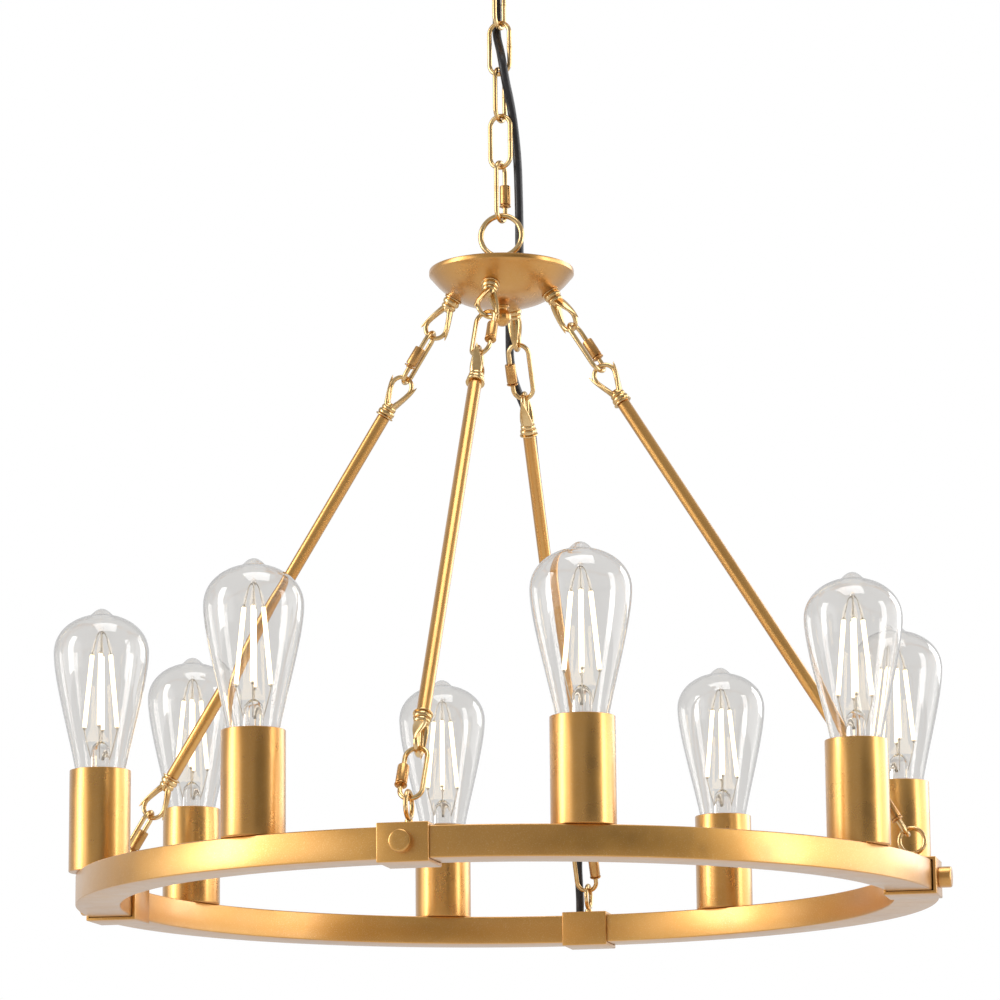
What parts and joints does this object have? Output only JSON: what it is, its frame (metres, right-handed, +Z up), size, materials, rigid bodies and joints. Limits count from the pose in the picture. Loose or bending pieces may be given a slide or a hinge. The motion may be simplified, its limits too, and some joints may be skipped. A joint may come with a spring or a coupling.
{
  "type": "wagon wheel chandelier",
  "caption": "Hanging ring light: lamp cups with pear-shaped lamps on a round box-section ring, hung by hooked rods from a bowl-shaped hub, a chain and a ceiling canopy.",
  "frame": {"origin": "centre of the ceiling crossbar's upper face, in the plane of the ceiling", "axes": "+Z up out of the ceiling crossbar, so the light hangs towards -Z; -Y towards strut 1 at the front, +X towards strut 2 at the right"},
  "size_m": [0.6036, 0.6036, 0.7223],
  "materials": {
    "gold_paint": "satin",
    "brass": "satin",
    "steel": "zinc plated",
    "cord_black": "matte",
    "bush": "matte",
    "ceramic": "satin",
    "wire_jacket": "matte",
    "clear_glass": "clear",
    "lamp_metal": "satin"
  },
  "bodies": {
    "ceiling": {"crossbar": "steel", "canopy_nipple": "brass", "canopy_loop": "brass", "cord_top": "cord_black"},
    "canopy": {"canopy": "gold_paint", "canopy_collar": "brass"},
    "top_link": {"chain_link_top": "brass", "cord_middle": "cord_black"},
    "chain": {"chain_links": "brass", "top_screw_link": "brass", "cord_bottom": "cord_black"},
    "link_nut": {"top_link_nut": "brass"},
    "hub": {"hub_bowl": "gold_paint", "hub_cover": "gold_paint", "hub_loop": "gold_paint", "hub_stem": "brass", "hub_hooks": "brass", "hub_bushings": "bush"},
    "finial": {"finial": "gold_paint"},
    "ring": {"ring_segment_1": "gold_paint", "ring_segment_2": "gold_paint", "ring_segment_3": "gold_paint", "ring_segment_4": "gold_paint", "sleeves": "gold_paint", "sleeve_bolts": "gold_paint", "ring_eyes": "brass", "sleeve_bushing": "bush", "lamp_cups": "gold_paint", "lampholders": "ceramic", "cup_nipples": "brass", "ring_wiring": "wire_jacket"},
    "strut_1": {"rod_1": "gold_paint", "rod_hooks_1": "brass", "screw_links_1": "brass"},
    "strut_2": {"rod_2": "gold_paint", "rod_hooks_2": "brass", "screw_links_2": "brass"},
    "strut_3": {"rod_3": "gold_paint", "rod_hooks_3": "brass", "screw_links_3": "brass", "cord_lower": "cord_black"},
    "strut_4": {"rod_4": "gold_paint", "rod_hooks_4": "brass", "screw_links_4": "brass"},
    "lamp_1": {"lamp_glass_1": "clear_glass", "lamp_core_1": "lamp_metal"},
    "lamp_2": {"lamp_glass_2": "clear_glass", "lamp_core_2": "lamp_metal"},
    "lamp_3": {"lamp_glass_3": "clear_glass", "lamp_core_3": "lamp_metal"},
    "lamp_4": {"lamp_glass_4": "clear_glass", "lamp_core_4": "lamp_metal"},
    "lamp_5": {"lamp_glass_5": "clear_glass", "lamp_core_5": "lamp_metal"},
    "lamp_6": {"lamp_glass_6": "clear_glass", "lamp_core_6": "lamp_metal"},
    "lamp_7": {"lamp_glass_7": "clear_glass", "lamp_core_7": "lamp_metal"},
    "lamp_8": {"lamp_glass_8": "clear_glass", "lamp_core_8": "lamp_metal"}
  },
  "joints": [
    {"name": "canopy_drop", "type": "slide", "parent": "ceiling", "child": "canopy", "axis": [0, 0, -1], "range_m": [0, 0.03]},
    {"name": "chain_swing", "type": "hinge", "parent": "ceiling", "child": "top_link", "pos_m": [0, 0, -0.0655], "axis": [0.9763, -0.2164, 0], "range_deg": [-20, 20], "deforming": ["cord_top"]},
    {"name": "chain_sway", "type": "hinge", "parent": "top_link", "child": "chain", "pos_m": [0, 0, -0.0992], "axis": [0.2164, 0.9763, 0], "range_deg": [-20, 20], "deforming": ["cord_middle"]},
    {"name": "nut_unscrew", "type": "slide", "parent": "chain", "child": "link_nut", "axis": [0, 0, 1], "range_m": [0, 0.008]},
    {"name": "hub_tilt", "type": "hinge", "parent": "chain", "child": "hub", "pos_m": [0, 0, -0.2365], "axis": [1, 0, 0], "range_deg": [-10, 10], "deforming": ["cord_bottom"]},
    {"name": "finial_turn", "type": "hinge", "parent": "hub", "child": "finial", "pos_m": [0, 0, -0.3096], "axis": [0, 0, 1], "continuous": true},
    {"name": "ring_twist", "type": "hinge", "parent": "hub", "child": "ring", "pos_m": [0, 0, -0.71], "axis": [0, 0, 1], "range_deg": [-4, 4], "stiffness_Nm_per_rad": 0.84, "deforming": ["cord_lower"]},
    {"name": "strut_swing_1", "type": "hinge", "parent": "hub", "child": "strut_1", "pos_m": [0, -0.05099, -0.32072], "axis": [0, -0.851, 0.5252], "range_deg": [-3, 3]},
    {"name": "strut_swing_2", "type": "hinge", "parent": "hub", "child": "strut_2", "pos_m": [0.05099, 0, -0.32072], "axis": [0.851, 0, 0.5252], "range_deg": [-3, 3]},
    {"name": "strut_swing_3", "type": "hinge", "parent": "hub", "child": "strut_3", "pos_m": [0, 0.05099, -0.32072], "axis": [0, 0.851, 0.5252], "range_deg": [-3, 3]},
    {"name": "strut_swing_4", "type": "hinge", "parent": "hub", "child": "strut_4", "pos_m": [-0.05099, 0, -0.32072], "axis": [-0.851, 0, 0.5252], "range_deg": [-3, 3]},
    {"name": "lamp_1_out", "type": "slide", "parent": "ring", "child": "lamp_1", "axis": [0, 0, 1], "range_m": [0, 0.018]},
    {"name": "lamp_2_out", "type": "slide", "parent": "ring", "child": "lamp_2", "axis": [0, 0, 1], "range_m": [0, 0.018]},
    {"name": "lamp_3_out", "type": "slide", "parent": "ring", "child": "lamp_3", "axis": [0, 0, 1], "range_m": [0, 0.018]},
    {"name": "lamp_4_out", "type": "slide", "parent": "ring", "child": "lamp_4", "axis": [0, 0, 1], "range_m": [0, 0.018]},
    {"name": "lamp_5_out", "type": "slide", "parent": "ring", "child": "lamp_5", "axis": [0, 0, 1], "range_m": [0, 0.018]},
    {"name": "lamp_6_out", "type": "slide", "parent": "ring", "child": "lamp_6", "axis": [0, 0, 1], "range_m": [0, 0.018]},
    {"name": "lamp_7_out", "type": "slide", "parent": "ring", "child": "lamp_7", "axis": [0, 0, 1], "range_m": [0, 0.018]},
    {"name": "lamp_8_out", "type": "slide", "parent": "ring", "child": "lamp_8", "axis": [0, 0, 1], "range_m": [0, 0.018]}
  ],
  "couplings": [
    {"joint": "strut_swing_1", "follows": "ring_twist", "ratio": 0.647},
    {"joint": "strut_swing_2", "follows": "ring_twist", "ratio": 0.647},
    {"joint": "strut_swing_3", "follows": "ring_twist", "ratio": 0.647},
    {"joint": "strut_swing_4", "follows": "ring_twist", "ratio": 0.647}
  ]
}
